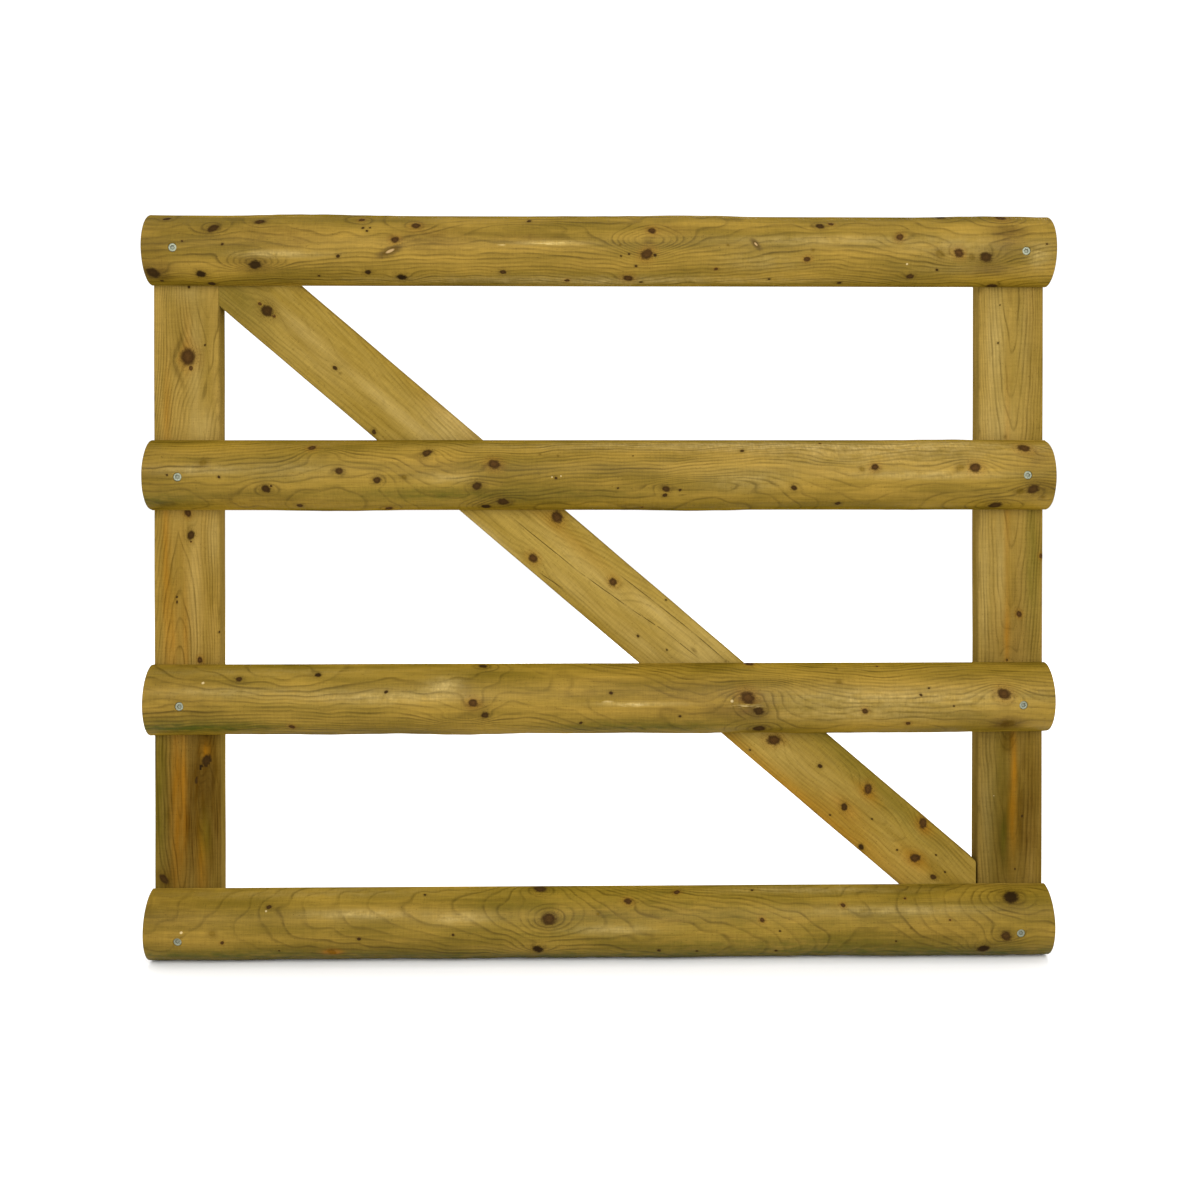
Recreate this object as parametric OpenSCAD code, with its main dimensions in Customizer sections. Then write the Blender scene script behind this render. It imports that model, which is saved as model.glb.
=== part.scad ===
// Field gate: half-round rails screwed across two stiles, with a diagonal brace between the stiles.
// X runs along the rails, Y from the gate's front to its back, and Z up.
// The origin is in the middle of the gate's width and depth, level with the bottom rail's lower edge.

/* [Gate] */
// Width of the gate, along its rails
gate_w = 1310; // [1000:5:1800]
// Height of the gate, over its top and bottom rails
gate_h = 1084; // [900:2:1300]

/* [Rails] */
// Width of a half-round rail across its flat back
rail_w = 100; // [85:1:115]
// Rise of a rail's round face above its flat back
rail_rise = 50; // [40:1:50]
// Length of rail that runs on past the outer edge of each stile
rail_overhang = 2.5; // [0:0.5:40]

/* [Stiles] */
// Width of a stile
stile_w = 93; // [80:1:120]
// Thickness of a stile
stile_t = 35; // [28:1:50]

/* [Brace] */
// Width of the brace
brace_w = 97; // [75:1:115]
// Thickness of the brace
brace_t = 35; // [28:1:50]
// Gap left between the brace's foot and the hanging stile
brace_gap = 4; // [0:0.5:10]
// Distance of the brace's top corner below the top rail's upper edge
brace_top_inset = 0.5; // [0:0.5:20]
// Height of the brace's foot above the bottom rail's lower edge
brace_foot_rise = 4; // [0:0.5:20]

/* [Planed edges] */
// Radius of the eased long edges of the stiles and the brace
arris_r = 3; // [1:0.5:8]

/* [Rail screws] */
// Thread diameter of a screw that holds a rail to a stile
rail_screw_d = 6; // [4.5:0.5:8]
// Head diameter of that screw
rail_screw_head_d = 12; // [10:0.5:16]
// Wood left in the stile behind that screw's tip
rail_screw_cover = 5; // [2:0.5:12]

/* [Brace screws] */
// Thread diameter of a screw that holds the brace to a rail
brace_screw_d = 5; // [4:0.5:6]
// Head diameter of that screw
brace_screw_head_d = 10; // [8:0.5:13]
// Depth that this screw reaches into the rail
brace_screw_bite = 28; // [15:1:32]

/* [Hidden] */
$fn = 64;
overrun = 1;

rail_names = ["bottom_rail", "lower_middle_rail", "upper_middle_rail", "top_rail"];
stile_names = ["closing_stile", "hanging_stile"];
side_names = ["closing", "hanging"];
level_names = ["lower", "upper"];
rails = [0 : len(rail_names) - 1];
sides = [0, 1];
levels = [0, 1];

function rail_screw_name(i, side) = str(rail_names[i], "_", side_names[side], "_screw");
function brace_screw_name(i, level) = str(rail_names[i], "_brace_screw_", level_names[level]);

rail_color = "#a58a3a";
stile_color = "#ab8a3c";
brace_color = "#a08c42";
screw_color = "#c4c6c4";

// The joint plane is where the rails' flat backs meet the fronts of the stiles and the brace.
gate_d = rail_rise + max(stile_t, brace_t);
joint_y = rail_rise - gate_d / 2;
crest_y = joint_y - rail_rise;

// A rail's round face is an arc through both edges of its back and its crest.
rail_r = (rail_w * rail_w / 4 + rail_rise * rail_rise) / (2 * rail_rise);
rail_pitch = (gate_h - rail_w) / (len(rail_names) - 1);
function rail_z(i) = rail_w / 2 + i * rail_pitch;

stile_outer_x = gate_w / 2 - rail_overhang;
stile_inner_x = stile_outer_x - stile_w;
function stile_x(side) = (2 * side - 1) * (stile_outer_x - stile_w / 2);

// The brace runs from corner to corner: its slope is the one at which its upper edge meets the
// closing stile at the top corner and its lower edge meets the foot's corner at the other end.
brace_left_x = -stile_inner_x;
brace_right_x = stile_inner_x - brace_gap;
brace_run = brace_right_x - brace_left_x;
brace_drop = gate_h - brace_top_inset - brace_foot_rise;
brace_diagonal = sqrt(brace_run * brace_run + brace_drop * brace_drop);
brace_angle = acos(brace_w / brace_diagonal) - atan2(brace_run, brace_drop);
brace_top_z = gate_h - brace_top_inset;
function brace_upper_x(z) = brace_left_x + (brace_top_z - z) / tan(brace_angle);
function brace_lower_x(z) = brace_upper_x(z) - brace_w / sin(brace_angle);
function brace_mid_x(z) =
    (max(brace_left_x, brace_lower_x(z)) + min(brace_right_x, brace_upper_x(z))) / 2;

// Proportions that all the screws share: a 90 degree head, a coarse thread and a six-lobe recess
core_share = 0.66;
tip_share = 1.1;
thread_pitch_share = 0.5;
thread_end_share = 0.55;
recess_share = 0.46;
recess_core_share = 0.78;
recess_lobe_share = 0.2;
recess_depth_share = 0.5;
recess_lobes = 6;
// Radial room between a screw and the wood round it
screw_fit = 0.05;
// Depth of a head's flat below the lowest wood at its rim
rail_screw_sink = 0.3;
brace_screw_sink = 0.3;

// Where each rail screw was driven, off the middle of its joint: shares of the stile's width and of
// the rail's width, from the bottom rail up, at the closing stile and then at the hanging stile
rail_screw_across_shares = [[-0.01, 0], [0.03, 0.03], [0.01, 0.09], [-0.06, 0.06]];
rail_screw_up_shares = [[-0.1, -0.05], [-0.01, -0.03], [-0.01, 0.01], [-0.02, -0.04]];
function rail_screw_x(i, side) = stile_x(side) + rail_screw_across_shares[i][side] * stile_w;
function rail_screw_up(i, side) = rail_screw_up_shares[i][side] * rail_w;
function rail_screw_z(i, side) = rail_z(i) + rail_screw_up(i, side);
// The head's flat lies below the round face all the way round its rim.
function rail_screw_y(i, side) =
    let (rim = abs(rail_screw_up(i, side)) + rail_screw_head_d / 2)
    crest_y + rail_r - sqrt(rail_r * rail_r - rim * rim) + rail_screw_sink;
function rail_screw_l(i, side) = joint_y + stile_t - rail_screw_cover - rail_screw_y(i, side);

// Heights of the brace's two screws at each rail, as shares of the rail's width off its middle
brace_screw_shares = [[-0.04, 0.3], [-0.2, 0.2], [-0.2, 0.2], [-0.3, 0.04]];
brace_screw_y = joint_y + brace_t - brace_screw_sink;
brace_screw_l = brace_t - brace_screw_sink + brace_screw_bite;
function brace_screw_z(i, level) = rail_z(i) + brace_screw_shares[i][level] * rail_w;

// A planed board along X, with its four long edges eased, from y = 0 back and centred on z = 0
module eased_board(length, width, thickness) {
    flat_w = width - 2 * arris_r;
    flat_t = thickness - 2 * arris_r;
    rotate([90, 0, 90])
        linear_extrude(length, center = true)
            union() {
                translate([0, -flat_w / 2])
                    square([thickness, flat_w]);
                translate([arris_r, -width / 2])
                    square([flat_t, width]);
                for (across = [arris_r, thickness - arris_r])
                    for (up = [-flat_w / 2, flat_w / 2])
                        translate([across, up])
                            circle(arris_r);
            }
}

// A countersunk wood screw along Z, with its head's flat at z = 0 and its tip at z = length
module wood_screw(length, d, head_d) {
    head_h = (head_d - d) / 2;
    core_r = core_share * d / 2;
    tip_l = tip_share * d;
    pitch = thread_pitch_share * d;
    turns = floor(thread_end_share * length / pitch);
    thread_start = length - tip_l - turns * pitch;
    recess_r = recess_share * head_d / 2;
    recess_depth = recess_depth_share * d;
    color(screw_color)
        difference() {
            rotate_extrude()
                polygon(concat(
                    [[0, 0], [head_d / 2, 0], [d / 2, head_h], [d / 2, thread_start]],
                    [for (turn = [0 : turns - 1]) each [
                        [core_r, thread_start + turn * pitch],
                        [d / 2, thread_start + (turn + 1 / 2) * pitch],
                        [core_r, thread_start + (turn + 1) * pitch]
                    ]],
                    [[0, length]]
                ));
            translate([0, 0, -overrun])
                cylinder(r = recess_core_share * recess_r, h = recess_depth + overrun);
            for (lobe = [1 : recess_lobes])
                rotate(lobe * 360 / recess_lobes)
                    translate([recess_core_share * recess_r, 0, -overrun])
                        cylinder(r = recess_lobe_share * recess_r, h = recess_depth + overrun);
        }
}

// The hole that such a screw fills, open above its head as far as the wood can reach
module screw_hole(length, d, head_d, above) {
    head_h = (head_d - d) / 2;
    tip_l = tip_share * d;
    rotate_extrude()
        polygon([
            [0, -above],
            [head_d / 2, -above],
            [head_d / 2, 0],
            [d / 2 + screw_fit, head_h - screw_fit],
            [d / 2 + screw_fit, length - tip_l],
            [0, length + screw_fit]
        ]);
}

module at_rail_screw(i, side) {
    translate([rail_screw_x(i, side), rail_screw_y(i, side), rail_screw_z(i, side)])
        rotate([-90, 0, 0])
            children();
}

module at_brace_screw(i, level) {
    translate([brace_mid_x(brace_screw_z(i, level)), brace_screw_y, brace_screw_z(i, level)])
        rotate([90, 0, 0])
            children();
}

module rail_screw_hole(i, side) {
    at_rail_screw(i, side)
        screw_hole(rail_screw_l(i, side), rail_screw_d, rail_screw_head_d, rail_rise);
}

module brace_screw_hole(i, level) {
    at_brace_screw(i, level)
        screw_hole(brace_screw_l, brace_screw_d, brace_screw_head_d, brace_screw_sink + overrun);
}

// A half-round rail: its flat back lies on the joint plane and its crest faces the front.
module rail(i) {
    color(rail_color)
        difference() {
            translate([0, crest_y + rail_r, rail_z(i)])
                rotate([0, 90, 0])
                    cylinder(r = rail_r, h = gate_w, center = true);
            translate([-gate_w / 2 - overrun, joint_y, rail_z(i) - rail_r - overrun])
                cube([gate_w + 2 * overrun, 2 * rail_r, 2 * (rail_r + overrun)]);
            for (side = sides)
                rail_screw_hole(i, side);
            for (level = levels)
                brace_screw_hole(i, level);
        }
}

module stile(side) {
    color(stile_color)
        difference() {
            translate([stile_x(side), joint_y, gate_h / 2])
                rotate([0, 90, 0])
                    eased_board(gate_h, stile_w, stile_t);
            for (i = rails)
                rail_screw_hole(i, side);
        }
}

// The brace lies in the plane of the stiles and is sawn upright at both ends.
module diagonal_brace() {
    color(brace_color)
        difference() {
            intersection() {
                translate([brace_left_x, joint_y, brace_top_z])
                    rotate([0, brace_angle, 0])
                        translate([brace_diagonal / 2, 0, -brace_w / 2])
                            eased_board(2 * brace_diagonal, brace_w, brace_t);
                translate([brace_left_x, joint_y - overrun, -gate_h])
                    cube([brace_run, brace_t + 2 * overrun, 3 * gate_h]);
            }
            for (i = rails)
                for (level = levels)
                    brace_screw_hole(i, level);
        }
}

module rail_screw(i, side) {
    at_rail_screw(i, side)
        wood_screw(rail_screw_l(i, side), rail_screw_d, rail_screw_head_d);
}

module brace_screw(i, level) {
    at_brace_screw(i, level)
        wood_screw(brace_screw_l, brace_screw_d, brace_screw_head_d);
}

for (i = rails) {
    rail(i);
    for (side = sides)
        rail_screw(i, side);
    for (level = levels)
        brace_screw(i, level);
}
for (side = sides)
    stile(side);
diagonal_brace();
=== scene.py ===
import math

import bpy
import numpy as np
from mathutils import Matrix, Vector


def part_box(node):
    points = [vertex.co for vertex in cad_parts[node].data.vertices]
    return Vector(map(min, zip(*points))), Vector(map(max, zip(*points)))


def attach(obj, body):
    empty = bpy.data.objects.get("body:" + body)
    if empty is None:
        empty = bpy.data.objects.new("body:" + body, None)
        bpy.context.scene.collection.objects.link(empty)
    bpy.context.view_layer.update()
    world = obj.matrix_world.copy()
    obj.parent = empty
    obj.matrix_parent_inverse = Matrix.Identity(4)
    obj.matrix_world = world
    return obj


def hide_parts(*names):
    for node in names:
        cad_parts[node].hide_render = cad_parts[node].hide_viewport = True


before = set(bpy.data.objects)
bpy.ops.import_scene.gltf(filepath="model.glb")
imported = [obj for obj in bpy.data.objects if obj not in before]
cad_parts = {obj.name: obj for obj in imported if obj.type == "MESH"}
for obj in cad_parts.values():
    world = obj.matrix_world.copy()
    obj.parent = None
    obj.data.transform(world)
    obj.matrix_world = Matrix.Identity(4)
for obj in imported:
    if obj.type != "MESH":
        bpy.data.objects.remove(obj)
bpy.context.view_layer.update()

# Lengths are in millimetres, and are turned to metres where a mesh, a lamp or a node is made.
MM = 0.001
TINY = 1e-6

# The photograph's camera, with its image taken as 1200 by 1200 pixels
PHOTO_SIZE = 1200
PHOTO_AXIS = (597.1, 443.8)
PHOTO_FOCAL = 1361
CAMERA_BEFORE_GATE = 2000
CAMERA_ACROSS = -41
CAMERA_HEIGHT = 766.5
CAMERA_YAW = math.radians(1.01)
CAMERA_PITCH = math.radians(0.42)
CLIP_START = 50
SENSOR = 36

# Timber sizes that the frame's boxes don't give. The swell brings the outline onto the photograph's.
BRACE_WIDTH = 97
SWELL = 1.3
BOARD_ARRIS = 3
RAIL_ARRIS = 1.5
END_ARRIS = 1.2
END_STEP_SHARE = 0.3

# Where a rail's crest starts over its flat back, and the heights over which crest and flank come in. The
# flanks' colour carries painted shade.
CREST_START = 18
CREST_REACH = 28
FLANK_REACH = 10

# Mesh spacing along and around a timber, and rings of faces on a sawn end
STEP_ALONG = 4
STEP_AROUND = 3
LEAST_STEPS = 3
OUTLINE_STEP = 0.1
END_RINGS = 14

# A screw's pocket: clear of the head at its wall, and a floor out of sight below the head
POCKET_CLEAR = 0.25
POCKET_FLOOR = 4.0
POCKET_STEPS = 7
POCKET_MARGINS = (0.6, 1.4, 2.6)
POCKET_SPACE = 0.8

# Added to a timber's own seed for each of its random draws
GRAIN_SEED = SLOW_SEED = 0
QUICK_SEED, FORM_SEED, CHATTER_SEED, TONE_SEED, BACK_SEED, TILT_SEED = range(1, 7)


def box_mm(node):
    low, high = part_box(node)
    return np.array(low) / MM, np.array(high) / MM


def middle_at(box, depth):
    """The middle of a box across and up the gate, at the given depth."""
    x, _, z = (box[0] + box[1]) / 2
    return np.array((x, depth, z))


def smoothstep(x):
    x = np.clip(x, 0, 1)
    return x * x * (3 - 2 * x)


def bell(u, s, place, halves):
    """A soft spot on a timber: 1 at its place, falling off over its half sizes along and round."""
    return np.exp(-(((u - place[0]) / halves[0]) ** 2) - ((s - place[1]) / halves[1]) ** 2)


def waves(seed, count, along, around):
    """A smooth random field of the timber's own coordinates, with the given ranges of wavelength."""
    rng = np.random.default_rng(seed)
    long_k = 2 * math.pi / rng.uniform(*along, count)
    wide_k = 2 * math.pi / rng.uniform(*around, count)
    turn = rng.uniform(0, 2 * math.pi, count)
    phase = rng.uniform(0, 2 * math.pi, count)
    sign = rng.choice((-1, 1), count)

    def field(u, v, w):
        total = np.zeros_like(u)
        for k, c, a, p, d in zip(long_k, wide_k, turn, phase, sign):
            total += np.sin(d * k * u + c * (v * math.cos(a) + w * math.sin(a)) + p)
        return total / math.sqrt(count / 2)

    return field


def smooth_path(points):
    """A smooth function of u through given points (u, v, w)."""
    places = np.array(points, float)
    slopes = np.gradient(places, places[:, 0], axis=0)

    def path(u):
        i = np.clip(np.searchsorted(places[:, 0], u) - 1, 0, len(places) - 2)
        step = places[i + 1, 0] - places[i, 0]
        t = (u - places[i, 0]) / step
        share = t * t * (3 - 2 * t)
        leave = t * (1 - t) ** 2 * step
        arrive = t * t * (t - 1) * step
        return tuple(
            places[i, k] + share * (places[i + 1, k] - places[i, k])
            + leave * slopes[i, k] + arrive * slopes[i + 1, k]
            for k in (1, 2)
        )

    return path


# The camera and the photograph's rays

JOINT_Y, GATE_HEIGHT = box_mm("top_rail")[1][1:]
camera_place = np.array((CAMERA_ACROSS, JOINT_Y - CAMERA_BEFORE_GATE, CAMERA_HEIGHT))
view_right = np.array((math.cos(CAMERA_YAW), -math.sin(CAMERA_YAW), 0))
view_level = np.array((math.sin(CAMERA_YAW), math.cos(CAMERA_YAW), 0))
view_forward = view_level * math.cos(CAMERA_PITCH) - np.array((0, 0, math.sin(CAMERA_PITCH)))
view_up = np.cross(view_right, view_forward)


def photo_ray(x, y):
    """The direction in which the photograph's camera sees the pixel (x, y)."""
    across = (x - PHOTO_AXIS[0]) / PHOTO_FOCAL
    up = (PHOTO_AXIS[1] - y) / PHOTO_FOCAL
    return view_forward + across * view_right + up * view_up


def make_camera():
    data = bpy.data.cameras.new("camera")
    data.sensor_width = SENSOR
    data.lens = PHOTO_FOCAL / PHOTO_SIZE * SENSOR
    data.shift_x = 0.5 - PHOTO_AXIS[0] / PHOTO_SIZE
    data.shift_y = PHOTO_AXIS[1] / PHOTO_SIZE - 0.5
    data.clip_start = CLIP_START * MM
    camera = bpy.data.objects.new("camera", data)
    turn = Matrix([view_right, view_up, -view_forward]).transposed().to_4x4()
    camera.matrix_world = Matrix.Translation(camera_place * MM) @ turn
    bpy.context.scene.collection.objects.link(camera)
    bpy.context.scene.camera = camera


# Marks in the wood, read from the photograph as (x, y, size) in pixels. A fourth value is the kind
# of mark, a fifth how many times longer than wide it is and a sixth its turn in degrees. A mark without
# a fifth value has the usual stretch and a random turn.
KINDS = range(7)
# A painted-highlight mark is not in the wood: it is a painted highlight streak on a rail's crest
DARK, FAINT, RED, PAINTED_HIGHLIGHT, CHIP, CRACK, DOT = KINDS
MARK_STRETCH = 1.25
MARK_TILT = 35
MARK_GROW = (0.78, 1.06)
SMALL_MARK, LARGE_MARK = 4, 9
CRACK_WIDTH = 1.7
CRACK_OVERLAP = 1.1

# A mark's own tone is added to the number of its kind, and small knots keep to middling tones
KIND_SPREAD = 0.4
KIND_MARGIN = 0.02
SMALL_RADIUS = 3.5
SMALL_TONE = 0.4

# Knots on the backs: a rail has its own, and a board's larger front ones come through
BACK_KNOTS = 11
BACK_JITTER = (0.2, 0.8)
BACK_REACH = 31
BACK_TURNS = (0.8, 1.5)
BACK_KINDS = (DARK, DARK, RED, FAINT)
BACK_RADII = (2.6, 6.5)
BACK_STRETCHES = (1.1, 2.0)
THROUGH_SHARE = 0.85
THROUGH_ALONG = 6
THROUGH_ACROSS = 4

MARKS = {
    "top_rail": [
        (167, 219, 8, DARK, 1.6, 15), (213, 228, 12, DARK, 1.5, 40), (260, 222, 11, DARK, 1.8, 8),
        (362, 220, 7, RED), (416, 226, 9, RED), (395, 240, 8, RED), (255, 265, 12), (201, 274, 10),
        (153, 273, 14, DARK, 1.3, -40), (338, 256, 5), (368, 272, 7), (402, 277, 10), (319, 276, 4),
        (222, 244, 4), (182, 241, 3), (162, 281, 5), (212, 283, 8), (363, 228, 4), (367, 231, 4),
        (370, 228, 3), (390, 251, 15, CHIP, 3.2, 24), (529, 221, 6), (652, 231, 8, RED),
        (647, 254, 12, RED), (655, 255, 5), (628, 278, 10, RED), (503, 272, 7), (567, 280, 6, RED),
        (716, 269, 5, RED), (641, 282, 5), (621, 256, 3), (629, 254, 3), (636, 266, 4),
        (620, 245, 3, FAINT), (728, 245, 3, FAINT), (503, 245, 13, PAINTED_HIGHLIGHT, 7), (548, 243, 40, PAINTED_HIGHLIGHT, 9),
        (820, 226, 9), (831, 224, 6, RED), (900, 237, 8, RED), (940, 254, 9, FAINT), (807, 259, 7, RED),
        (813, 250, 4, FAINT), (959, 253, 10, RED), (986, 257, 12), (972, 257, 7, FAINT), (910, 276, 8),
        (839, 283, 6), (769, 279, 4), (756, 244, 8, CHIP, 2.4, -50), (907, 264, 3, DOT, 1), (937, 270, 4),
        (940, 218, 9), (1000, 219, 11, RED), (992, 286, 12), (1047, 244, 3),
    ],
    "upper_middle_rail": [
        (312, 448, 8, RED), (339, 471, 8), (377, 480, 8), (266, 489, 9), (271, 486, 4), (300, 505, 7),
        (389, 508, 8, RED), (219, 477, 4), (427, 453, 10), (167, 475, 3), (404, 477, 6, FAINT),
        (203, 463, 8, FAINT), (494, 464, 12, RED), (477, 486, 10), (503, 502, 12), (486, 507, 10),
        (666, 489, 8), (665, 495, 6), (680, 490, 4), (618, 488, 3), (642, 507, 4, RED), (633, 456, 2),
        (552, 477, 2, DOT, 1), (556, 478, 4), (561, 476, 2, DOT, 1), (474, 478, 3, PAINTED_HIGHLIGHT),
        (540, 454, 3, FAINT), (558, 456, 3, FAINT), (742, 451, 5), (875, 467, 8, RED), (862, 469, 6, FAINT),
        (975, 468, 11, RED), (960, 468, 8, FAINT), (794, 488, 7), (838, 504, 7), (1024, 448, 13, RED),
        (1033, 489, 12), (995, 505, 13), (820, 443, 4, RED), (1043, 497, 5, FAINT), (1020, 491, 8, FAINT),
    ],
    "lower_middle_rail": [
        (239, 679, 7), (318, 675, 7), (386, 692, 5), (292, 727, 7, RED), (203, 683, 4, DOT, 1),
        (483, 666, 9), (473, 703, 9, RED), (485, 715, 8), (581, 723, 5), (611, 693, 5), (680, 716, 4),
        (748, 698, 15, RED), (759, 711, 11), (759, 729, 13), (749, 664, 10, RED), (836, 669, 4, FAINT),
        (590, 665, 3), (606, 702, 17, PAINTED_HIGHLIGHT, 5), (633, 705, 33, PAINTED_HIGHLIGHT, 8), (732, 701, 4, DOT, 1),
        (747, 706, 34, PAINTED_HIGHLIGHT, 8), (865, 711, 7, RED), (908, 723, 6, RED), (929, 688, 3), (921, 695, 4),
        (1004, 694, 13, RED), (877, 666, 4, RED), (1008, 724, 15, FAINT), (954, 706, 3),
        (839, 682, 6, FAINT),
    ],
    "bottom_rail": [
        (269, 907, 6), (266, 911, 3, DOT, 1), (222, 943, 5, RED), (332, 952, 9, FAINT), (359, 939, 5),
        (425, 895, 4), (181, 933, 4, DOT, 1), (279, 951, 3), (212, 934, 7, FAINT), (540, 889, 13),
        (549, 919, 14), (538, 949, 11), (628, 901, 8, RED), (677, 892, 7, RED), (659, 950, 5),
        (697, 951, 4), (598, 914, 4, FAINT), (453, 935, 4), (843, 905, 6, RED), (762, 920, 6, RED),
        (780, 931, 3), (905, 898, 4, RED), (950, 920, 3, RED), (896, 941, 3), (911, 928, 3, FAINT),
        (776, 951, 5), (1011, 897, 16), (1006, 936, 11), (983, 948, 12), (752, 891, 4),
    ],
    "closing_stile": [
        (188, 357, 17, RED, 1.15), (191, 368, 6, RED), (177, 350, 24, FAINT, 7, -20),
        (177, 370, 24, FAINT, 7, 20), (191, 535, 9), (191, 541, 4, RED), (205, 345, 3), (189, 287, 4),
        (177, 597, 3), (188, 513, 8, RED), (177, 602, 4, DARK, 1.8), (200, 660, 7, RED), (207, 761, 13),
        (200, 768, 9, DARK, 1.6, -30), (197, 780, 8, DARK, 2.0, -15), (204, 792, 60, FAINT, 5),
        (211, 778, 40, FAINT, 5), (199, 772, 30, FAINT, 6), (164, 879, 12, DARK, 1.8, 40), (220, 632, 3),
    ],
    "hanging_stile": [
        (998, 343, 3), (1041, 556, 6, RED), (1000, 305, 2), (1005, 437, 4, FAINT), (978, 290, 6, FAINT),
        (1019, 614, 7, RED), (1003, 838, 60, FAINT, 5), (1022, 816, 4), (1002, 829, 4),
        (994, 796, 2, DOT, 1), (1007, 660, 3), (1015, 869, 3),
    ],
    "diagonal_brace": [
        (267, 311, 13), (274, 316, 5, RED), (260, 304, 5, RED), (335, 368, 6), (340, 373, 4, FAINT),
        (374, 432, 6), (557, 517, 13, RED), (533, 558, 10, RED), (613, 582, 9, RED), (666, 600, 3),
        (638, 636, 4), (667, 650, 3), (694, 650, 6, FAINT, 1.8), (726, 661, 3, FAINT),
        (774, 740, 14, RED, 1.4, 40), (750, 750, 3), (820, 766, 6), (868, 789, 11, RED, 1.35, -50),
        (844, 807, 8), (830, 815, 3), (872, 819, 3), (923, 823, 12, RED, 1.6, -50), (861, 847, 7),
        (915, 858, 11, RED, 1.3, 40), (897, 850, 3), (936, 855, 3), (945, 872, 3), (933, 877, 7),
    ],
}

# Drying checks, as the pixels that each one runs through
CRACKS = {
    "diagonal_brace": [
        [(515, 520), (578, 571), (631, 609), (666, 632), (697, 657)],
        [(621, 576), (656, 603), (694, 633), (725, 660)],
        [(540, 573), (562, 588)],
    ],
}
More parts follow.
